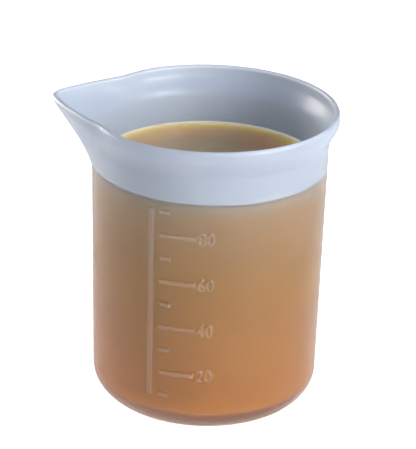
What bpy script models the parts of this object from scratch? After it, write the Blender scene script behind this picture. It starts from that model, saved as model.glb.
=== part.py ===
"""A small silicone measuring cup for casting resin, with the resin that was poured into it.

The cup is one flexible moulding: a gently tapered beaker with a flared lip, a pouring spout and a raised
volume scale. The resin is a separate body, which lifts out of the cup once it has cured.

Metres, +Z up. The origin is the middle of the cup's base, on the plane that it stands on. The spout points
along -X and the scale is on the -Y side.
"""

import math

import bmesh
import bpy
from mathutils import Vector

# Cup body
HEIGHT = 0.0675  # base to the top of the lip, away from the spout
BODY_RADIUS = 0.0259  # outside, where the flare of the lip begins
BODY_TAPER = 0.0005  # how much smaller the radius is where the base's rounding ends
WALL_AT_BASE = 0.0015
WALL_AT_LIP = 0.0012
BASE_THICKNESS = 0.0034
BASE_ROUNDING = 0.0058  # radius of the outside corner between base and wall

# Lip
LIP_OVERHANG = 0.0020  # how far the lip stands out from the body
FLARE_HEIGHT = 0.0070  # from the start of the flare to the top of the lip
LIP_LAND = 0.0010  # straight outer edge of the lip, below its rounded top
LIP_ROUND = 0.0008  # height of the lip's rounded top

# Spout, which points along -X
SPOUT_REACH = 0.0097  # how far the tip stands out from the body
SPOUT_HEIGHT = 0.0132  # from the start of the spout's keel to the top of the lip
SPOUT_RISE = 0.0006  # how far the tip stands above the rest of the lip
SPOUT_HALF_ANGLE = math.radians(17.0)
SPOUT_SHARPNESS = 1.5
SPOUT_TIP_ANGLE = math.radians(4.0)  # rounds off the tip
SPOUT_SOFT_START = 0.05  # share of the keel's height over which it leaves the wall
NECK_DEPTH = 0.0008  # the lip pulls in a little at each side of the spout
NECK_ANGLE = math.radians(36.0)
NECK_HALF_ANGLE = math.radians(9.0)

# Volume scale, raised on the outside of the wall
SCALE_STEP_ML = 10
LABELLED_EVERY_ML = 20
SCALE_CLEAR_OF_LIP = 0.0050  # no mark is closer than this to the start of the flare
RELIEF = 0.00035  # how far the marks stand proud of the wall
MARK_ROOT = 0.0005  # how deep their roots reach into the wall
LINE_ANGLE = math.radians(-110.8)
LINE_WIDTH = 0.0009
LINE_GAP = 0.0017  # between the line and the ticks
MAJOR_TICK = 0.0076
MINOR_TICK = 0.0022
TICK_WIDTH = 0.0008
LABEL_GAP = 0.0006
LABEL_HEIGHT = 0.0027
LABEL_WIDTH = 0.0034
ML = 1e-6  # one millilitre, in cubic metres
SLICE = 2e-5  # thickness of the slices that the cup's capacity is added up from

# Resin
RESIN_HEADROOM = 0.0134  # from its surface to the top of the lip
FIT_GAP = 0.0003  # between the resin and the cup

# How finely the round surfaces are divided
SPOUT_SECTOR = math.radians(54.0)  # each side of the spout, where the divisions are fine
FINE_STEP = math.radians(3.0)
COARSE_STEPS = 38
ROUNDING_STEPS = 6
WALL_STEPS = 3
SPOUT_STEPS = 4
FLARE_STEPS = 6
LIP_STEPS = 6
CURVED_MARK_STEP = 0.0019  # longest stretch of a mark that stays straight as it goes round the wall
SLOPE_STEP = 1e-5  # metres and radians, for measuring a surface's slope
MERGE_DISTANCE = 1e-6
SHARP_ANGLE = math.radians(35.0)

RESIN_LEVEL = HEIGHT - RESIN_HEADROOM
FLARE_START = HEIGHT - FLARE_HEIGHT
LIP_TOP_START = HEIGHT - LIP_ROUND
SPOUT_START = HEIGHT - SPOUT_HEIGHT
INNER_ROUNDING = BASE_ROUNDING - WALL_AT_BASE
INNER_WALL_START = BASE_THICKNESS + INNER_ROUNDING


def clear_scene():
    for thing in list(bpy.data.objects):
        bpy.data.objects.remove(thing, do_unlink=True)


def smooth_step(share):
    share = min(max(share, 0.0), 1.0)
    return share * share * (3.0 - 2.0 * share)


def plastic(name, colour, roughness):
    """A Principled material. colour is red, green, blue and alpha."""
    material = bpy.data.materials.new(name)
    material.use_nodes = True
    shader = material.node_tree.nodes["Principled BSDF"]
    shader.inputs["Base Color"].default_value = colour
    shader.inputs["Alpha"].default_value = colour[3]
    shader.inputs["Roughness"].default_value = roughness
    shader.inputs["Metallic"].default_value = 0.0
    return material


def from_spout(angle):
    """Angle between a direction and the spout's, from 0 to pi."""
    return abs((angle % (2.0 * math.pi)) - math.pi)


def up_the_body(z):
    """0 where the base's rounding ends, and 1 where the flare of the lip begins."""
    return (z - BASE_ROUNDING) / (FLARE_START - BASE_ROUNDING)


def body_radius(z):
    """Outside radius of the tapered body, carried on straight to the top."""
    return BODY_RADIUS - BODY_TAPER * (1.0 - up_the_body(z))


def wall(z):
    """Thickness of the wall, which thins towards the lip."""
    return WALL_AT_BASE + (WALL_AT_LIP - WALL_AT_BASE) * min(max(up_the_body(z), 0.0), 1.0)


def flare(z):
    """How far the lip has opened out at this height."""
    rise = FLARE_HEIGHT - LIP_LAND - LIP_ROUND
    return LIP_OVERHANG * smooth_step((z - FLARE_START) / rise)


def keel(z):
    """How far the spout's keel stands out from the body at this height."""
    share = (z - SPOUT_START) / SPOUT_HEIGHT
    eased = (share + math.hypot(share, SPOUT_SOFT_START)) / 2.0
    return SPOUT_REACH * eased


def spout_share(angle):
    """1 at the middle of the spout, falling to 0 at its sides."""
    turn = math.hypot(from_spout(angle), SPOUT_TIP_ANGLE)
    drop = turn**SPOUT_SHARPNESS - SPOUT_TIP_ANGLE**SPOUT_SHARPNESS
    return math.exp(-drop / SPOUT_HALF_ANGLE**SPOUT_SHARPNESS)


def neck_share(angle):
    """1 at each side of the spout, where the lip pulls in."""
    return math.exp(-(((from_spout(angle) - NECK_ANGLE) / NECK_HALF_ANGLE) ** 2))


def outer_radius(angle, z):
    """Outside of the cup above the base's rounding."""
    opened = flare(z)
    spout = max(keel(z) - opened, 0.0) * spout_share(angle)
    neck = NECK_DEPTH * neck_share(angle) * opened / LIP_OVERHANG
    return body_radius(z) + opened + spout - neck


def inner_radius(angle, z):
    """Inside of the cup: the outside, moved in by the wall's thickness square to the surface."""
    radius = outer_radius(angle, z)
    slope_up = (outer_radius(angle, z + SLOPE_STEP) - radius) / SLOPE_STEP
    slope_round = (outer_radius(angle + SLOPE_STEP, z) - radius) / SLOPE_STEP / radius
    return radius - wall(z) * math.sqrt(1.0 + slope_up**2 + slope_round**2)


def plain_inner_radius(z):
    """Inside radius on the side away from the spout."""
    return inner_radius(0.0, z)


def lifted(angle, z):
    """A height on the wall, raised towards the spout's tip."""
    share = max(z - SPOUT_START, 0.0) / (LIP_TOP_START - SPOUT_START)
    return z + SPOUT_RISE * spout_share(angle) * share**2


def angles():
    """The directions of the lengthwise divisions: fine across the spout, coarse round the rest."""
    fine_steps = round(2.0 * SPOUT_SECTOR / FINE_STEP)
    start = math.pi - SPOUT_SECTOR
    fine = [start + 2.0 * SPOUT_SECTOR * i / fine_steps for i in range(fine_steps)]
    rest = 2.0 * (math.pi - SPOUT_SECTOR)
    coarse = [math.pi + SPOUT_SECTOR + rest * i / COARSE_STEPS for i in range(COARSE_STEPS)]
    return fine + coarse


def spread(start, end, steps):
    """Values from start to end, both included."""
    return [start + (end - start) * i / steps for i in range(steps + 1)]


def at(angle, radius, z):
    return Vector((radius * math.cos(angle), radius * math.sin(angle), z))


def quarter(radius, middle_z, reach):
    """(radius, height) along a base corner of that reach, from the flat up to the wall."""
    turns = spread(0.0, math.pi / 2.0, ROUNDING_STEPS)
    return [(radius - reach + reach * math.sin(t), middle_z - reach * math.cos(t)) for t in turns]


def outer_rings():
    """Rings of points up the outside of the cup, to the start of the lip's rounded top."""
    corner = quarter(body_radius(BASE_ROUNDING), BASE_ROUNDING, BASE_ROUNDING)
    rings = [[at(a, r, z) for a in angles()] for r, z in corner]
    for z in wall_heights(BASE_ROUNDING)[1:]:
        rings.append([at(a, outer_radius(a, z), lifted(a, z)) for a in angles()])
    return rings


def inner_rings():
    """Rings of points down the inside of the cup, from the lip's rounded top to the flat floor."""
    rings = []
    for z in reversed(wall_heights(INNER_WALL_START)[1:]):
        rings.append([at(a, inner_radius(a, z), lifted(a, z)) for a in angles()])
    corner = quarter(plain_inner_radius(INNER_WALL_START), INNER_WALL_START, INNER_ROUNDING)
    rings += [[at(a, r, z) for a in angles()] for r, z in reversed(corner)]
    return rings


def wall_heights(start):
    """Heights of the rings from the end of a base corner to the start of the lip's rounded top."""
    plain = spread(start, SPOUT_START, WALL_STEPS)
    spout = spread(SPOUT_START, FLARE_START, SPOUT_STEPS)[1:]
    return plain + spout + spread(FLARE_START, LIP_TOP_START, FLARE_STEPS)[1:]


def lip_rings(outside, inside):
    """Rings over the lip's rounded top, between the last ring outside and the first inside."""
    rings = []
    for turn in spread(0.0, math.pi, LIP_STEPS)[1:-1]:
        ring = []
        for out, into in zip(outside, inside):
            middle = (out + into) / 2.0
            top = Vector((0.0, 0.0, LIP_ROUND * math.sin(turn)))
            ring.append(middle + (out - middle) * math.cos(turn) + top)
        rings.append(ring)
    return rings


def closed_mesh(name, rings):
    """A mesh through the rings, in order, with its first and last ring closed by a flat face."""
    shape = bmesh.new()
    rows = [[shape.verts.new(point) for point in ring] for ring in rings]
    for low, high in zip(rows, rows[1:]):
        for i in range(len(low)):
            j = (i + 1) % len(low)
            shape.faces.new((low[i], low[j], high[j], high[i]))
    shape.faces.new(reversed(rows[0]))
    shape.faces.new(rows[-1])
    bmesh.ops.recalc_face_normals(shape, faces=shape.faces)
    return finished_mesh(name, shape)


def finished_mesh(name, shape):
    mesh = bpy.data.meshes.new(name)
    shape.to_mesh(mesh)
    shape.free()
    return mesh


def add_object(name, mesh, material=None):
    thing = bpy.data.objects.new(name, mesh)
    bpy.context.scene.collection.objects.link(thing)
    if material is not None:
        mesh.materials.append(material)
    return thing


def inside_profile(z):
    """Inside radius away from the spout, at any height above the floor."""
    if z >= INNER_WALL_START:
        return plain_inner_radius(z)
    middle = plain_inner_radius(INNER_WALL_START) - INNER_ROUNDING
    return middle + math.sqrt(INNER_ROUNDING**2 - (INNER_WALL_START - z) ** 2)


def height_of(volume):
    """Height to which a volume fills the cup, in thin slices up from the floor."""
    height = BASE_THICKNESS
    while volume > 0.0:
        area = math.pi * inside_profile(height + SLICE / 2.0) ** 2
        height += min(SLICE, volume / area)
        volume -= area * SLICE
    return height


def marked_volumes():
    """Each step of the scale, in ml, that falls on the straight wall and clear of the lip."""
    volumes = []
    volume = SCALE_STEP_ML
    while height_of(volume * ML) <= FLARE_START - SCALE_CLEAR_OF_LIP:
        if height_of(volume * ML) >= BASE_ROUNDING + TICK_WIDTH:
            volumes.append(volume)
        volume += SCALE_STEP_ML
    return volumes


def on_wall(across, up, out):
    """A point of the scale: across and up the unrolled wall, from the line's place, and out from it."""
    radius = body_radius(up)
    return at(LINE_ANGLE + across / radius, radius + out, up)


def bar(shape, left, right, low, high):
    """A raised bar on the unrolled wall, divided so that it follows the wall round."""
    columns = spread(left, right, max(1, math.ceil((right - left) / CURVED_MARK_STEP)))
    corners = ((low, -MARK_ROOT), (high, -MARK_ROOT), (high, RELIEF), (low, RELIEF))
    rows = [[shape.verts.new(on_wall(x, up, out)) for up, out in corners] for x in columns]
    for left_row, right_row in zip(rows, rows[1:]):
        for i in range(4):
            j = (i + 1) % 4
            shape.faces.new((left_row[i], left_row[j], right_row[j], right_row[i]))
    shape.faces.new(reversed(rows[0]))
    shape.faces.new(rows[-1])


def label(shape, words, left, middle):
    """Raised figures on the unrolled wall, in Blender's own plain type.

    The type's own size and thickness don't matter: its points are moved to the label's size, its front
    to the height of the marks and its back to the depth of their roots.
    """
    curve = bpy.data.curves.new("label", "FONT")
    curve.body = words
    curve.extrude = 0.5
    curve.resolution_u = 3
    writing = bpy.data.objects.new("label", curve)
    bpy.context.scene.collection.objects.link(writing)
    bpy.context.view_layer.update()
    mesh = bpy.data.meshes.new_from_object(writing)
    bpy.data.objects.remove(writing)
    points = [vertex.co for vertex in mesh.vertices]
    wide = max(p.x for p in points) - min(p.x for p in points)
    tall = max(p.y for p in points) - min(p.y for p in points)
    start, foot = min(p.x for p in points), min(p.y for p in points)
    for point in points:
        across = left + (point.x - start) * LABEL_WIDTH / wide
        up = middle + (point.y - foot - tall / 2.0) * LABEL_HEIGHT / tall
        point.xyz = on_wall(across, up, RELIEF if point.z > 0.0 else -MARK_ROOT)
    shape.from_mesh(mesh)
    bpy.data.meshes.remove(mesh)


def scale_marks():
    """The line, ticks and figures of the volume scale, as closed shapes to be joined to the wall."""
    shape = bmesh.new()
    volumes = marked_volumes()
    first, last = height_of(volumes[0] * ML), height_of(volumes[-1] * ML)
    bar(shape, -LINE_WIDTH / 2.0, LINE_WIDTH / 2.0, first - TICK_WIDTH / 2.0, last + TICK_WIDTH / 2.0)
    start = LINE_WIDTH / 2.0 + LINE_GAP
    for volume in volumes:
        middle = height_of(volume * ML)
        labelled = volume % LABELLED_EVERY_ML == 0
        end = start + (MAJOR_TICK if labelled else MINOR_TICK)
        bar(shape, start, end, middle - TICK_WIDTH / 2.0, middle + TICK_WIDTH / 2.0)
        if labelled:
            label(shape, str(volume), end + LABEL_GAP, middle)
    bmesh.ops.remove_doubles(shape, verts=shape.verts, dist=MERGE_DISTANCE)
    bmesh.ops.recalc_face_normals(shape, faces=shape.faces)
    marks = add_object("scale_marks", finished_mesh("scale_marks", shape))
    marks.hide_render = True
    marks.display_type = "WIRE"
    return marks


def make_cup():
    outside, inside = outer_rings(), inner_rings()
    rings = outside + lip_rings(outside[-1], inside[0]) + inside
    silicone = plastic("silicone", (0.80, 0.83, 0.88, 0.55), 0.45)
    cup = add_object("cup", closed_mesh("cup", rings), silicone)
    raised = cup.modifiers.new("scale", "BOOLEAN")
    raised.operation = "UNION"
    raised.solver = "EXACT"
    raised.object = scale_marks()
    return cup


def make_resin():
    """The resin fills the cup to its level, a fit gap clear of the floor and the wall."""
    reach = INNER_ROUNDING - FIT_GAP
    corner = quarter(plain_inner_radius(INNER_WALL_START) - FIT_GAP, INNER_WALL_START, reach)
    rings = [[at(a, r, z) for a in angles()] for r, z in corner]
    covered = [z for z in wall_heights(INNER_WALL_START)[1:] if z < RESIN_LEVEL]
    for z in covered + [RESIN_LEVEL]:
        rings.append([at(a, inner_radius(a, z) - FIT_GAP, z) for a in angles()])
    amber = plastic("amber_resin", (0.62, 0.30, 0.08, 1.0), 0.08)
    return add_object("resin_fill", closed_mesh("resin_fill", rings), amber)


def shade(thing):
    thing.data.shade_smooth()
    thing.data.set_sharp_from_angle(angle=SHARP_ANGLE)


def main():
    clear_scene()
    for thing in (make_cup(), make_resin()):
        shade(thing)


main()
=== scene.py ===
"""The looks of a small silicone measuring cup with cured amber resin in it.

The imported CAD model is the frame. Both of its nodes are replaced here by finer meshes of the same shape:
a frosted, translucent cup with a soft-edged raised scale, and a cloudy amber casting with a meniscus.
"""

import math

import bmesh
import bpy
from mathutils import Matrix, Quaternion, Vector
from mathutils.bvhtree import BVHTree


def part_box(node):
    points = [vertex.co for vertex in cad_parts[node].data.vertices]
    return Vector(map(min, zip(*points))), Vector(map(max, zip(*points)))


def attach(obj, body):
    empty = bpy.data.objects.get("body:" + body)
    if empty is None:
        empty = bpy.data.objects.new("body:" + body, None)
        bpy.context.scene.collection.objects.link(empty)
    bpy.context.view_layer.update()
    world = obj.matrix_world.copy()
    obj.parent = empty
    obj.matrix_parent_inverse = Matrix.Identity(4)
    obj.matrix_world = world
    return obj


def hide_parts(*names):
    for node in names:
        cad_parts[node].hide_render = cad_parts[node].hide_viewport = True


MM = 0.001

# Camera
CAMERA_AZIMUTH = math.radians(6.5)
CAMERA_ELEVATION = math.radians(24.62)
CAMERA_ROLL = math.radians(1.7)
CAMERA_DISTANCE = 416.0 * MM
CAMERA_PIVOT_SHARE = 0.497  # of the cup's height, the point that the camera goes round
CAMERA_AIM_SHARE = 0.583  # of the cup's height, the point that the camera looks at
CAMERA_LENS = 148.9
CAMERA_CLIP_START = 0.01

# Cup, where the frame's boxes don't give it
LIP_OVERHANG = 2.0 * MM
FLARE_HEIGHT = 7.0 * MM
LIP_LAND = 1.0 * MM
LIP_ROUND = 0.8 * MM
BODY_TAPER = 0.5 * MM
TAPER_ON = 0.057 * MM  # how much the taper alone widens the body from the flare's start to the lip's top
WALL_AT_BASE = 1.5 * MM
WALL_AT_LIP = 1.2 * MM
BASE_ROUNDING = 5.8 * MM
FIT_GAP = 0.3 * MM

# Spout, which points along -X
SPOUT_HEIGHT = 13.2 * MM
SPOUT_RISE = 0.6 * MM
SPOUT_HALF_ANGLE = math.radians(17.0)
SPOUT_SHARPNESS = 1.5
SPOUT_TIP_ANGLE = math.radians(4.0)  # rounds off the tip
SPOUT_SOFT_START = 0.05  # share of the keel's height over which it leaves the wall
NECK_DEPTH = 0.8 * MM  # the lip pulls in a little at each side of the spout
NECK_ANGLE = math.radians(36.0)
NECK_HALF_ANGLE = math.radians(9.0)

# Raised scale
SCALE_STEP_ML = 10
LABELLED_EVERY_ML = 20
SCALE_CLEAR_OF_LIP = 5.0 * MM  # no mark is closer than this to the start of the flare
RELIEF = 0.35 * MM  # how far the marks stand proud of the wall
SOFT_EDGE = 0.22 * MM  # width of the slope round each mark
LINE_ANGLE = math.radians(-110.8)
LINE_WIDTH = 0.9 * MM
LINE_GAP = 1.7 * MM  # between the line and the ticks
MAJOR_TICK = 7.6 * MM
MINOR_TICK = 2.2 * MM
TICK_WIDTH = 0.8 * MM
LABEL_GAP = 0.6 * MM
LABEL_HEIGHT = 2.7 * MM
LABEL_WIDTH = 3.4 * MM
LABEL_CURVE_STEPS = 12
ML = 1e-6  # one millilitre, in cubic metres
SLICE = 0.02 * MM  # thickness of the slices that the cup's capacity is added up from

# Silicone
OUTER_COLOUR = (0.96, 0.96, 0.97)
# the inner skin's darker, bluer colour is painted shade inside the cup
INNER_SHADED_COLOUR = (0.54, 0.595, 0.675)
OUTER_CLEAR = 0.985
INNER_CLEAR = 0.08
MARK_CLEAR = 0.94  # share of the wall's clearness that a raised mark keeps
SILICONE_IOR = 1.41
SILICONE_ROUGH = 0.33
SILICONE_ROUGH_RANGE = 0.05
SILICONE_CLOUD = (0.94, 0.95, 0.96)
CLOUD_SIZE = 14.0 * MM
SATIN_SIZE = 3.0 * MM
GRAIN_SIZE = 0.35 * MM
GRAIN_DEPTH = 0.02 * MM
AIR_BACKED = "air_backed"  # the mesh's own value: 0 on the outer skin, 1 on the inner skin
MARKED = "marked"  # the mesh's own value: 1 on the scale's raised marks

# Resin
MENISCUS = 0.6 * MM
MENISCUS_REACH = 0.9 * MM
MENISCUS_WIDTH = 5.0 * MENISCUS_REACH  # divided finely, and flat beyond it
MENISCUS_CROWDING = 1.6  # how much the rings crowd towards the wall
WETTED_CONTACT = 0.05 * MM  # the resin reaches this far into the wall, so that no air shows
TOP_FACING = 0.3  # the least upward lean of a face that belongs to the free surface
# The sides' colours from the bottom up are painted light: deep orange low down, paler and greyer higher
# up, palest just under the waterline.
SIDE_LOW = (0.52, 0.18, 0.006)
SIDE_LOW_MIDDLE = (0.49, 0.20, 0.02)
SIDE_HIGH_MIDDLE = (0.43, 0.21, 0.03)
SIDE_HIGH_PAINTED_PALE = (0.45, 0.28, 0.13)
WATERLINE_PAINTED_LIGHT = (0.45, 0.37, 0.28)
# paler than the sides: painted light on the resin's top, besides its real glow from scattering
TOP_PAINTED_LIGHT_COLOUR = (0.84, 0.62, 0.30)
TOP_GLOW = {"Subsurface Weight": 1.0, "Subsurface Scale": 20.0 * MM}
AMBER_BODY = {"IOR": 1.45, "Subsurface Weight": 0.5, "Subsurface Scale": 4.0 * MM}
AMBER_SCATTER = (1.0, 0.65, 0.35)
AMBER_SWIRL = (0.9, 0.88, 0.85)
AMBER_ROUGH_RANGE = 0.3  # share of the roughness
SWIRL_SIZE = 9.0 * MM
SMEAR_SIZE = 6.0 * MM
RIPPLE_SIZE = 7.0 * MM
RIPPLE_DEPTH = 0.06 * MM
MOULDED_ROUGH = 0.3
MOULDED_GLOSS = {"Specular IOR Level": 0.2}
POURED_ROUGH = 0.09

# Light
HORIZON_LIGHT = (0.62, 0.61, 0.60)
ZENITH_LIGHT = (0.03, 0.15, 0.36)
SHADED_SIDE = 0.4  # the daylight from the spout's side, where 1 is that from the other side
KEY_PLACE = (0.68, -0.44, 0.14)
KEY_SIZE = 0.7
KEY_POWER = 12.0
KEY_COLOUR = (0.97, 0.98, 1.0)
FILL_PLACE = (-0.6, 0.3, 0.2)
FILL_SIZE = 0.4
FILL_POWER = 4.5
FILL_COLOUR = (1.0, 0.93, 0.86)
FLOOR_GLOW = 0.6  # the light that the floor gives the cup
FLOOR_SHOWN = 0.88  # the same as the camera sees it, so that it meets the white backdrop
FLOOR_SIZE = 3.0
FLOOR_DROP = 0.05 * MM  # keeps it clear of the cup's base
FLOOR_ROUGH = 0.9
FLOOR_DARK = (0.93, 0.93, 0.93)
FLOOR_PALE = (0.95, 0.95, 0.95)
FLOOR_PATCH_SIZE = 0.3

WHITE = (1.0, 1.0, 1.0)
NOISE_LOW = 0.3  # most of a noise's values lie between these two
NOISE_HIGH = 0.7

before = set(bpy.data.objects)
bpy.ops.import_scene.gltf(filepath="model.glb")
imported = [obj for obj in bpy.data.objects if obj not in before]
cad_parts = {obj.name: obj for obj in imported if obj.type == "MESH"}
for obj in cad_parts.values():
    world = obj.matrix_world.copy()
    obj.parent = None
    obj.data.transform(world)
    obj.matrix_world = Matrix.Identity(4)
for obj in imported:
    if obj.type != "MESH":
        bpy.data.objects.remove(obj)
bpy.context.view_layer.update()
CUP_LOW, CUP_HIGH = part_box("cup")
RESIN_LOW, RESIN_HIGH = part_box("resin_fill")

HEIGHT = CUP_HIGH.z - SPOUT_RISE
BODY_RADIUS = CUP_HIGH.x - LIP_OVERHANG - TAPER_ON
SPOUT_REACH = (-CUP_LOW.x - BODY_RADIUS - TAPER_ON) / (1.0 - LIP_ROUND / SPOUT_HEIGHT)
FLOOR_LEVEL = RESIN_LOW.z - FIT_GAP
RESIN_LEVEL = RESIN_HIGH.z
FLARE_START = HEIGHT - FLARE_HEIGHT
LIP_TOP_START = HEIGHT - LIP_ROUND
SPOUT_START = HEIGHT - SPOUT_HEIGHT
INNER_ROUNDING = BASE_ROUNDING - WALL_AT_BASE
INNER_WALL_START = FLOOR_LEVEL + INNER_ROUNDING

# How finely the surfaces are divided
MARK_STEP = 0.13 * MM
WALL_STEP = 1.2 * MM
FLARE_STEP = 0.45 * MM
COARSE_STEP = math.radians(2.2)
SPOUT_STEP = math.radians(1.4)
SPOUT_SECTOR = math.radians(54.0)  # each side of the spout, where the divisions are finer
CORNER_STEPS = 14
LIP_STEPS = 14
INSIDE_WALL_STEPS = 14
INSIDE_FLARE_STEPS = 32
BASE_RINGS = 5
RESIN_SECTORS = 180
RESIN_WALL_STEPS = 30
MENISCUS_STEPS = 16
RESIN_TOP_RINGS = 8
FLOOR_SQUARES = 8
SUDDEN = 0.6  # a step this much finer just ahead is a fine zone's edge
SHORTENING = 0.7  # of a step that would jump into one
SLOPE_STEP = 1e-5  # metres and radians, for measuring a surface's slope


def smooth_step(share):
    share = min(max(share, 0.0), 1.0)
    return share * share * (3.0 - 2.0 * share)


def spread(start, end, steps):
    """Values from start to end, both included."""
    return [start + (end - start) * i / steps for i in range(steps + 1)]


# The cup's form, as the CAD model has it


def from_spout(angle):
    """Angle between a direction and the spout's, from 0 to pi."""
    return abs((angle % (2.0 * math.pi)) - math.pi)


def up_the_body(z):
    """0 where the base's rounding ends, and 1 where the flare of the lip begins."""
    return (z - BASE_ROUNDING) / (FLARE_START - BASE_ROUNDING)


def body_radius(z):
    return BODY_RADIUS - BODY_TAPER * (1.0 - up_the_body(z))


def wall(z):
    return WALL_AT_BASE + (WALL_AT_LIP - WALL_AT_BASE) * min(max(up_the_body(z), 0.0), 1.0)


def flare(z):
    """How far the lip has opened out at this height."""
    rise = FLARE_HEIGHT - LIP_LAND - LIP_ROUND
    return LIP_OVERHANG * smooth_step((z - FLARE_START) / rise)


def keel(z):
    """How far the spout's keel stands out from the body at this height."""
    share = (z - SPOUT_START) / SPOUT_HEIGHT
    return SPOUT_REACH * (share + math.hypot(share, SPOUT_SOFT_START)) / 2.0


def spout_share(angle):
    """1 at the middle of the spout, falling to 0 at its sides."""
    turn = math.hypot(from_spout(angle), SPOUT_TIP_ANGLE)
    drop = turn**SPOUT_SHARPNESS - SPOUT_TIP_ANGLE**SPOUT_SHARPNESS
    return math.exp(-drop / SPOUT_HALF_ANGLE**SPOUT_SHARPNESS)


def neck_share(angle):
    """1 at each side of the spout, where the lip pulls in."""
    return math.exp(-(((from_spout(angle) - NECK_ANGLE) / NECK_HALF_ANGLE) ** 2))


def outer_radius(angle, z):
    opened = flare(z)
    spout = max(keel(z) - opened, 0.0) * spout_share(angle)
    neck = NECK_DEPTH * neck_share(angle) * opened / LIP_OVERHANG
    return body_radius(z) + opened + spout - neck


def inner_radius(angle, z):
    """The outside, moved in by the wall's thickness square to the surface."""
    radius = outer_radius(angle, z)
    slope_up = (outer_radius(angle, z + SLOPE_STEP) - radius) / SLOPE_STEP
    slope_round = (outer_radius(angle + SLOPE_STEP, z) - radius) / SLOPE_STEP / radius
    return radius - wall(z) * math.sqrt(1.0 + slope_up**2 + slope_round**2)


def lifted(angle, z):
    """A height on the wall, raised towards the spout's tip."""
    share = max(z - SPOUT_START, 0.0) / (LIP_TOP_START - SPOUT_START)
    return z + SPOUT_RISE * spout_share(angle) * share**2


def at(angle, radius, z):
    return Vector((radius * math.cos(angle), radius * math.sin(angle), z))


# The volume scale


def inside_profile(z):
    """Inside radius away from the spout, at any height above the floor."""
    if z >= INNER_WALL_START:
        return inner_radius(0.0, z)
    middle = inner_radius(0.0, INNER_WALL_START) - INNER_ROUNDING
    return middle + math.sqrt(INNER_ROUNDING**2 - (INNER_WALL_START - z) ** 2)


def height_of(volume):
    """Height to which a volume fills the cup, in thin slices up from the floor."""
    height = FLOOR_LEVEL
    while volume > 0.0:
        area = math.pi * inside_profile(height + SLICE / 2.0) ** 2
        height += min(SLICE, volume / area)
        volume -= area * SLICE
    return height


def marked_heights():
    """{volume in ml: its mark's height} for each step of the scale that is clear of the lip."""
    heights = {}
    volume = SCALE_STEP_ML
    while height_of(volume * ML) <= FLARE_START - SCALE_CLEAR_OF_LIP:
        heights[volume] = height_of(volume * ML)
        volume += SCALE_STEP_ML
    return heights


MARKS = marked_heights()
TICK_START = LINE_WIDTH / 2.0 + LINE_GAP
LABEL_START = TICK_START + MAJOR_TICK + LABEL_GAP


def figure_shape(words):
    """The flat shape of a label's figures in Blender's own plain type, at the label's size."""
    curve = bpy.data.curves.new("label", "FONT")
    curve.body = words
    curve.resolution_u = LABEL_CURVE_STEPS
    writing = bpy.data.objects.new("label", curve)
    bpy.context.scene.collection.objects.link(writing)
    bpy.context.view_layer.update()
    mesh = bpy.data.meshes.new_from_object(writing)
    bpy.data.objects.remove(writing)
    xs = [vertex.co.x for vertex in mesh.vertices]
    ys = [vertex.co.y for vertex in mesh.vertices]
    wide, tall = max(xs) - min(xs), max(ys) - min(ys)
    points = [
        Vector(((x - min(xs)) * LABEL_WIDTH / wide, ((y - min(ys)) / tall - 0.5) * LABEL_HEIGHT, 0.0))
        for x, y in zip(xs, ys)
    ]
    faces = [tuple(face.vertices) for face in mesh.polygons]
    bpy.data.meshes.remove(mesh)
    return BVHTree.FromPolygons(points, faces)


def bar_distance(across, up, left, right, low, high):
    """How far a point of the unrolled wall is from a bar."""
    return math.hypot(max(left - across, across - right, 0.0), max(low - up, up - high, 0.0))


def relief(across, up, figures):
    """How far up a mark's soft edge a point of the unrolled wall is, from 0 beside the marks to 1."""
    heights = list(MARKS.values())
    half = TICK_WIDTH / 2.0
    nearest = bar_distance(
        across, up, -LINE_WIDTH / 2.0, LINE_WIDTH / 2.0, heights[0] - half, heights[-1] + half
    )
    for volume, height in MARKS.items():
        length = MAJOR_TICK if volume % LABELLED_EVERY_ML == 0 else MINOR_TICK
        end = TICK_START + length
        nearest = min(nearest, bar_distance(across, up, TICK_START, end, height - half, height + half))
        if volume in figures and abs(up - height) < LABEL_HEIGHT:
            found = figures[volume].find_nearest(Vector((across - LABEL_START, up - height, 0.0)))
            nearest = min(nearest, found[3])
    return 1.0 - smooth_step(nearest / SOFT_EDGE)


# Meshes


def march(start, end, step_at):
    """Values from start to end, with the steps that step_at says, shortened before a finer zone."""
    values = [start]
    while values[-1] < end:
        step = step_at(values[-1])
        while step_at(values[-1] + step) < SUDDEN * step:
            step *= SHORTENING
        values.append(values[-1] + step)
    stretch = (end - start) / (values[-1] - start)
    return [start + (value - start) * stretch for value in values]


def near(value, places, reach):
    return any(abs(value - place) < reach for place in places)


def angle_step(angle):
    """The step between lengthwise divisions: fine across the edges of the marks and the figures."""
    across = (angle - LINE_ANGLE) * BODY_RADIUS
    line_edges = (-LINE_WIDTH / 2.0, LINE_WIDTH / 2.0)
    tick_ends = (TICK_START, TICK_START + MINOR_TICK, LABEL_START - LABEL_GAP)
    margin = SOFT_EDGE + 2.0 * MARK_STEP
    on_label = LABEL_START - margin < across < LABEL_START + LABEL_WIDTH + margin
    if on_label or near(across, line_edges + tick_ends, margin):
        return MARK_STEP / BODY_RADIUS
    if -LINE_WIDTH < across < LABEL_START:
        return 3.0 * MARK_STEP / BODY_RADIUS
    return SPOUT_STEP if from_spout(angle) < SPOUT_SECTOR else COARSE_STEP


def height_step(z):
    """The step between rings up the outside: fine across the marks and up the flare."""
    for volume, height in MARKS.items():
        labelled = volume % LABELLED_EVERY_ML == 0
        reach = (LABEL_HEIGHT if labelled else TICK_WIDTH) / 2.0 + SOFT_EDGE + 2.0 * MARK_STEP
        if abs(z - height) < reach:
            return MARK_STEP
    return FLARE_STEP if z > SPOUT_START else WALL_STEP


def add_rings(shape, rings):
    """Faces through rings of points, in order. Returns the rows of vertices."""
    rows = [[shape.verts.new(point) for point in ring] for ring in rings]
    for low, high in zip(rows, rows[1:]):
        for i in range(len(low)):
            j = (i + 1) % len(low)
            shape.faces.new((low[i], low[j], high[j], high[i]))
    return rows


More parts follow.
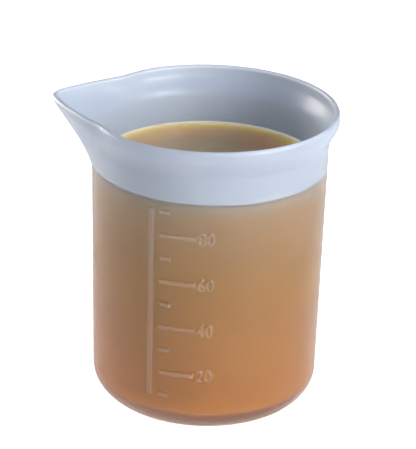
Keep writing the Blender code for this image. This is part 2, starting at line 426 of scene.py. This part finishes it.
def close_disc(shape, row, steps, shape_at):
    """Closes a round row with rings and a fan, at shape_at's heights. Returns the new vertices."""
    flat = [vertex.co.copy() for vertex in row]
    last, made = row, []
    for share in spread(1.0, 0.0, steps)[1:-1]:
        ring = []
        for point in flat:
            moved = Vector((point.x * share, point.y * share, 0.0))
            moved.z = shape_at(moved.length)
            ring.append(shape.verts.new(moved))
        for i in range(len(ring)):
            j = (i + 1) % len(ring)
            shape.faces.new((last[i], last[j], ring[j], ring[i]))
        last = ring
        made += ring
    middle = shape.verts.new((0.0, 0.0, shape_at(0.0)))
    for i in range(len(last)):
        shape.faces.new((last[i], last[(i + 1) % len(last)], middle))
    return made + [middle]


def quarter(radius, middle_z, reach, steps):
    """(radius, height) along a base corner of that reach, from the flat up to the wall."""
    turns = spread(0.0, math.pi / 2.0, steps)
    return [(radius - reach + reach * math.sin(t), middle_z - reach * math.cos(t)) for t in turns]


def smooth_object(name, shape):
    bmesh.ops.recalc_face_normals(shape, faces=shape.faces)
    mesh = bpy.data.meshes.new(name)
    shape.to_mesh(mesh)
    shape.free()
    mesh.shade_smooth()
    thing = bpy.data.objects.new(name, mesh)
    bpy.context.scene.collection.objects.link(thing)
    return thing


def outside_rings(angles):
    """The rings up the outside, and for each one how much of the scale's marks its points carry."""
    figures = {v: figure_shape(str(v)) for v in MARKS if v % LABELLED_EVERY_ML == 0}
    corner = quarter(body_radius(BASE_ROUNDING), BASE_ROUNDING, BASE_ROUNDING, CORNER_STEPS)
    rings = [[at(a, r, z) for a in angles] for r, z in corner]
    marks = [[0.0] * len(angles) for _ in corner]
    for z in march(BASE_ROUNDING, LIP_TOP_START, height_step)[1:]:
        shares = [relief((a - LINE_ANGLE) * body_radius(z), z, figures) for a in angles]
        rings.append(
            [at(a, outer_radius(a, z) + RELIEF * m, lifted(a, z)) for a, m in zip(angles, shares)]
        )
        marks.append(shares)
    return rings, marks


def inside_rings(angles):
    """The rings from the lip down the inside to the floor."""
    plain = spread(INNER_WALL_START, SPOUT_START, INSIDE_WALL_STEPS)[1:]
    opening = spread(SPOUT_START, LIP_TOP_START, INSIDE_FLARE_STEPS)[1:]
    rings = []
    for z in reversed(plain + opening):
        rings.append([at(a, inner_radius(a, z), lifted(a, z)) for a in angles])
    radius = inner_radius(0.0, INNER_WALL_START)
    corner = quarter(radius, INNER_WALL_START, INNER_ROUNDING, CORNER_STEPS)
    rings += [[at(a, r, z) for a in angles] for r, z in reversed(corner)]
    return rings


def lip_rings(outside, inside):
    """Rings over the lip's rounded top, between the last ring outside and the first inside."""
    rings = []
    for turn in spread(0.0, math.pi, LIP_STEPS)[1:-1]:
        ring = []
        for out, into in zip(outside, inside):
            middle = (out + into) / 2.0
            top = Vector((0.0, 0.0, LIP_ROUND * math.sin(turn)))
            ring.append(middle + (out - middle) * math.cos(turn) + top)
        rings.append(ring)
    return rings


def make_cup():
    angles = march(-math.pi, math.pi, angle_step)[:-1]
    outside, marks = outside_rings(angles)
    inside = inside_rings(angles)
    lip = lip_rings(outside[-1], inside[0])
    shape = bmesh.new()
    side = shape.verts.layers.float.new(AIR_BACKED)
    mark = shape.verts.layers.float.new(MARKED)
    rows = add_rings(shape, outside + lip + inside)
    floor = close_disc(shape, rows[-1], BASE_RINGS, lambda radius: FLOOR_LEVEL)
    close_disc(shape, rows[0], BASE_RINGS, lambda radius: 0.0)
    for row, shares in zip(rows, marks):
        for vertex, share in zip(row, shares):
            vertex[mark] = share
    lip_and_inside = rows[len(outside) :]
    for row, share in zip(lip_and_inside, spread(0.0, 1.0, len(lip)) + [1.0] * len(inside)):
        for vertex in row:
            vertex[side] = share
    for vertex in floor:
        vertex[side] = 1.0
    return smooth_object("silicone_cup", shape)


def resin_surface(inward):
    """Height of the resin's top, this far in from its edge, where the meniscus climbs the wall."""
    return RESIN_LEVEL + MENISCUS * math.exp(-inward / MENISCUS_REACH)


def make_resin():
    """The casting: it wets the cup's floor, corner and wall all round, and its top is free."""
    angles = spread(0.0, 2.0 * math.pi, RESIN_SECTORS)[:-1]
    radius = inner_radius(0.0, INNER_WALL_START) + WETTED_CONTACT
    reach = INNER_ROUNDING + WETTED_CONTACT
    corner = quarter(radius, INNER_WALL_START, reach, CORNER_STEPS)
    rings = [[at(a, r, z) for a in angles] for r, z in corner]
    edge_height = RESIN_LEVEL + MENISCUS
    for z in spread(INNER_WALL_START, edge_height, RESIN_WALL_STEPS)[1:]:
        rings.append([at(a, inner_radius(a, z) + WETTED_CONTACT, z) for a in angles])
    edges = [inner_radius(a, edge_height) + WETTED_CONTACT for a in angles]
    for share in spread(0.0, 1.0, MENISCUS_STEPS)[1:]:
        inward = MENISCUS_WIDTH * share**MENISCUS_CROWDING
        rings.append([at(a, edge - inward, resin_surface(inward)) for a, edge in zip(angles, edges)])
    shape = bmesh.new()
    rows = add_rings(shape, rings)
    close_disc(shape, rows[0], BASE_RINGS, lambda radius: FLOOR_LEVEL - WETTED_CONTACT)
    close_disc(shape, rows[-1], RESIN_TOP_RINGS, lambda radius: resin_surface(edges[0] - radius))
    casting = smooth_object("amber_casting", shape)
    for face in casting.data.polygons:
        high = face.center.z > RESIN_LEVEL - MENISCUS
        face.material_index = int(high and face.normal.z > TOP_FACING)
    return casting


# Materials


class Nodes:
    """A material's node tree, with short calls for the nodes that the materials here share."""

    def __init__(self, name):
        self.material = bpy.data.materials.new(name)
        self.material.use_nodes = True
        self.tree = self.material.node_tree
        self.shader = self.tree.nodes["Principled BSDF"]
        self.place = self.tree.nodes.new("ShaderNodeTexCoord").outputs["Object"]

    def link(self, source, target):
        self.tree.links.new(source, target)

    def noise(self, size, detail=2.0, roughness=0.5):
        """Noise with features of about this size, in metres."""
        node = self.tree.nodes.new("ShaderNodeTexNoise")
        node.inputs["Scale"].default_value = 1.0 / size
        node.inputs["Detail"].default_value = detail
        node.inputs["Roughness"].default_value = roughness
        self.link(self.place, node.inputs["Vector"])
        return node.outputs["Fac"]

    def ramp(self, factor, stops):
        """A colour ramp. stops are (position, (red, green, blue))."""
        node = self.tree.nodes.new("ShaderNodeValToRGB")
        elements = node.color_ramp.elements
        while len(elements) < len(stops):
            elements.new(0.5)
        for element, (position, colour) in zip(elements, stops):
            element.position = position
            element.color = (*colour, 1.0)
        self.link(factor, node.inputs["Fac"])
        return node.outputs["Color"]

    def mapped(self, factor, low, high, from_low=0.0, from_high=1.0):
        """A value between low and high, as the factor goes from from_low to from_high."""
        node = self.tree.nodes.new("ShaderNodeMapRange")
        self.link(factor, node.inputs["Value"])
        node.inputs["From Min"].default_value = from_low
        node.inputs["From Max"].default_value = from_high
        node.inputs["To Min"].default_value = low
        node.inputs["To Max"].default_value = high
        return node.outputs["Result"]

    def height(self):
        """The height above the base, in metres."""
        node = self.tree.nodes.new("ShaderNodeSeparateXYZ")
        self.link(self.place, node.inputs[0])
        return node.outputs["Z"]

    def attribute(self, name):
        """A value that the mesh carries at its points."""
        node = self.tree.nodes.new("ShaderNodeAttribute")
        node.attribute_name = name
        return node.outputs["Fac"]

    def times(self, first, second):
        node = self.tree.nodes.new("ShaderNodeMath")
        node.operation = "MULTIPLY"
        self.link(first, node.inputs[0])
        self.link(second, node.inputs[1])
        return node.outputs[0]

    def tinted(self, first, second):
        """One colour multiplied by another."""
        node = self.tree.nodes.new("ShaderNodeMix")
        node.data_type = "RGBA"
        node.blend_type = "MULTIPLY"
        node.inputs["Factor"].default_value = 1.0
        self.link(first, node.inputs["A"])
        self.link(second, node.inputs["B"])
        return node.outputs["Result"]

    def uneven(self, noise, low, high):
        """A value that a noise carries between low and high."""
        return self.mapped(noise, low, high, NOISE_LOW, NOISE_HIGH)

    def patchy(self, noise, low, high):
        """A colour that a noise carries between low and high."""
        return self.ramp(noise, [(NOISE_LOW, low), (NOISE_HIGH, high)])

    def bump(self, height, distance, strength):
        node = self.tree.nodes.new("ShaderNodeBump")
        node.inputs["Distance"].default_value = distance
        node.inputs["Strength"].default_value = strength
        self.link(height, node.inputs["Height"])
        self.link(node.outputs["Normal"], self.shader.inputs["Normal"])


def frosted_silicone():
    """Milky silicone with a fine satin skin: it lets light through but blurs what is behind it.

    A wall with air on its inner side looks whiter than a wetted one, so the inner skin carries most of
    the milk. The inner skin's colour is also darker and bluer than the outer skin's: painted shade
    inside the cup.
    """
    nodes = Nodes("frosted_silicone")
    side = nodes.attribute(AIR_BACKED)
    # outer to inner skin; the inner skin's darker, bluer colour is painted shade
    colour = nodes.ramp(side, [(0.0, OUTER_COLOUR), (1.0, INNER_SHADED_COLOUR)])
    cloud = nodes.patchy(nodes.noise(CLOUD_SIZE), SILICONE_CLOUD, WHITE)
    nodes.link(nodes.tinted(colour, cloud), nodes.shader.inputs["Base Color"])
    clear = nodes.mapped(side, OUTER_CLEAR, INNER_CLEAR)
    thicker = nodes.mapped(nodes.attribute(MARKED), 1.0, MARK_CLEAR)
    nodes.link(nodes.times(clear, thicker), nodes.shader.inputs["Transmission Weight"])
    smoothest, roughest = SILICONE_ROUGH - SILICONE_ROUGH_RANGE, SILICONE_ROUGH + SILICONE_ROUGH_RANGE
    rough = nodes.uneven(nodes.noise(SATIN_SIZE, detail=3.0), smoothest, roughest)
    nodes.link(rough, nodes.shader.inputs["Roughness"])
    nodes.bump(nodes.noise(GRAIN_SIZE, detail=3.0, roughness=0.6), GRAIN_DEPTH, strength=0.6)
    nodes.shader.inputs["IOR"].default_value = SILICONE_IOR
    return nodes.material


def amber(name, stops, roughness, values):
    """Honey-coloured resin, a little cloudy. stops give its colour from the bottom to the top."""
    nodes = Nodes(name)
    # the height ramp carries the painted light of the sides' stops
    depth = nodes.mapped(nodes.height(), 0.0, 1.0, FLOOR_LEVEL, RESIN_LEVEL)
    body = nodes.ramp(depth, stops)
    swirl = nodes.patchy(nodes.noise(SWIRL_SIZE, detail=3.0), AMBER_SWIRL, WHITE)
    nodes.link(nodes.tinted(body, swirl), nodes.shader.inputs["Base Color"])
    smoothest, roughest = roughness * (1.0 - AMBER_ROUGH_RANGE), roughness * (1.0 + AMBER_ROUGH_RANGE)
    rough = nodes.uneven(nodes.noise(SMEAR_SIZE), smoothest, roughest)
    nodes.link(rough, nodes.shader.inputs["Roughness"])
    nodes.bump(nodes.noise(RIPPLE_SIZE), RIPPLE_DEPTH, strength=0.5)
    for socket, value in (AMBER_BODY | values).items():
        nodes.shader.inputs[socket].default_value = value
    nodes.shader.inputs["Subsurface Radius"].default_value = AMBER_SCATTER
    return nodes.material


def moulded_amber():
    """The sides and the bottom, satin from the mould, with painted light: deep orange towards the bottom,
    paler and greyer towards the top.
    """
    stops = [
        (0.0, SIDE_LOW),
        (0.3, SIDE_LOW_MIDDLE),
        (0.65, SIDE_HIGH_MIDDLE),
        (0.94, SIDE_HIGH_PAINTED_PALE),
        (1.0, WATERLINE_PAINTED_LIGHT),
    ]
    return amber("moulded_amber", stops, MOULDED_ROUGH, MOULDED_GLOSS)


def poured_amber():
    """The free surface, glossy as it cured. Its colour is paler than the sides': painted light on the top.
    """
    return amber("poured_amber", [(0.0, TOP_PAINTED_LIGHT_COLOUR), (1.0, TOP_PAINTED_LIGHT_COLOUR)], POURED_ROUGH, TOP_GLOW)


def pale_floor():
    """A floor that glows a little, and is white where the camera sees it."""
    nodes = Nodes("pale_floor")
    tone = nodes.patchy(nodes.noise(FLOOR_PATCH_SIZE), FLOOR_DARK, FLOOR_PALE)
    nodes.link(tone, nodes.shader.inputs["Base Color"])
    seen = nodes.tree.nodes.new("ShaderNodeLightPath").outputs["Is Camera Ray"]
    nodes.link(nodes.mapped(seen, FLOOR_GLOW, FLOOR_SHOWN), nodes.shader.inputs["Emission Strength"])
    nodes.shader.inputs["Emission Color"].default_value = (*WHITE, 1.0)
    nodes.shader.inputs["Roughness"].default_value = FLOOR_ROUGH
    return nodes.material


# Stage, lights and camera


def make_floor():
    """A wide pale floor that the cup stands on."""
    shape = bmesh.new()
    bmesh.ops.create_grid(shape, x_segments=FLOOR_SQUARES, y_segments=FLOOR_SQUARES, size=FLOOR_SIZE)
    floor = smooth_object("floor", shape)
    floor.location.z = -FLOOR_DROP
    floor.data.materials.append(pale_floor())


def make_world():
    """Daylight that is bluer and dimmer from overhead. The camera sees a white backdrop instead."""
    world = bpy.data.worlds.new("studio")
    bpy.context.scene.world = world
    world.use_nodes = True
    nodes, links = world.node_tree.nodes, world.node_tree.links
    direction = nodes.new("ShaderNodeSeparateXYZ")
    links.new(nodes.new("ShaderNodeTexCoord").outputs["Generated"], direction.inputs[0])
    sky = nodes.new("ShaderNodeValToRGB")
    links.new(direction.outputs["Z"], sky.inputs["Fac"])
    sky.color_ramp.elements[0].color = (*HORIZON_LIGHT, 1.0)
    sky.color_ramp.elements[1].color = (*ZENITH_LIGHT, 1.0)
    links.new(sky.outputs["Color"], nodes["Background"].inputs["Color"])
    strength = nodes.new("ShaderNodeMapRange")
    links.new(direction.outputs["X"], strength.inputs["Value"])
    strength.inputs["From Min"].default_value = -1.0
    strength.inputs["To Min"].default_value = SHADED_SIDE
    links.new(strength.outputs["Result"], nodes["Background"].inputs["Strength"])
    backdrop = nodes.new("ShaderNodeBackground")
    backdrop.inputs["Color"].default_value = (*WHITE, 1.0)
    shown = nodes.new("ShaderNodeMixShader")
    links.new(nodes.new("ShaderNodeLightPath").outputs["Is Camera Ray"], shown.inputs[0])
    links.new(nodes["Background"].outputs[0], shown.inputs[1])
    links.new(backdrop.outputs[0], shown.inputs[2])
    links.new(shown.outputs[0], nodes["World Output"].inputs["Surface"])


def soft_light(name, where, target, size, power, colour):
    """A disc of light at a place, turned to face the target."""
    data = bpy.data.lights.new(name, "AREA")
    data.shape = "DISK"
    data.size = size
    data.energy = power
    data.color = colour
    light = bpy.data.objects.new(name, data)
    bpy.context.scene.collection.objects.link(light)
    light.location = where
    light.rotation_mode = "QUATERNION"
    light.rotation_quaternion = (Vector(target) - Vector(where)).to_track_quat("-Z", "Y")


def make_lights():
    middle = (0.0, 0.0, HEIGHT / 2.0)
    soft_light("key", KEY_PLACE, middle, KEY_SIZE, KEY_POWER, KEY_COLOUR)
    soft_light("fill", FILL_PLACE, middle, FILL_SIZE, FILL_POWER, FILL_COLOUR)


def make_camera():
    """The camera goes round one point of the cup's axis and looks at another."""
    azimuth, elevation = CAMERA_AZIMUTH, CAMERA_ELEVATION
    back = Vector(
        (
            math.sin(azimuth) * math.cos(elevation),
            -math.cos(azimuth) * math.cos(elevation),
            math.sin(elevation),
        )
    )
    pivot = Vector((0.0, 0.0, HEIGHT * CAMERA_PIVOT_SHARE))
    aim = Vector((0.0, 0.0, HEIGHT * CAMERA_AIM_SHARE))
    camera = bpy.data.objects.new("camera", bpy.data.cameras.new("camera"))
    bpy.context.scene.collection.objects.link(camera)
    camera.data.lens = CAMERA_LENS
    camera.data.clip_start = CAMERA_CLIP_START
    camera.location = pivot + back * CAMERA_DISTANCE
    camera.rotation_mode = "QUATERNION"
    look = (aim - camera.location).to_track_quat("-Z", "Y")
    camera.rotation_quaternion = look @ Quaternion((0.0, 0.0, 1.0), CAMERA_ROLL)
    bpy.context.scene.camera = camera


def place(piece, body, node, slot, *materials):
    """Gives a piece its materials and its place in the frame."""
    for material in materials:
        piece.data.materials.append(material)
    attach(piece, body)
    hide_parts(node)


def main():
    bpy.context.scene.view_settings.view_transform = "Standard"
    make_camera()
    place(make_cup(), "cup", "cup", "silicone", frosted_silicone())
    place(make_resin(), "resin", "resin_fill", "amber_resin", moulded_amber(), poured_amber())
    make_floor()
    make_world()
    make_lights()


main()
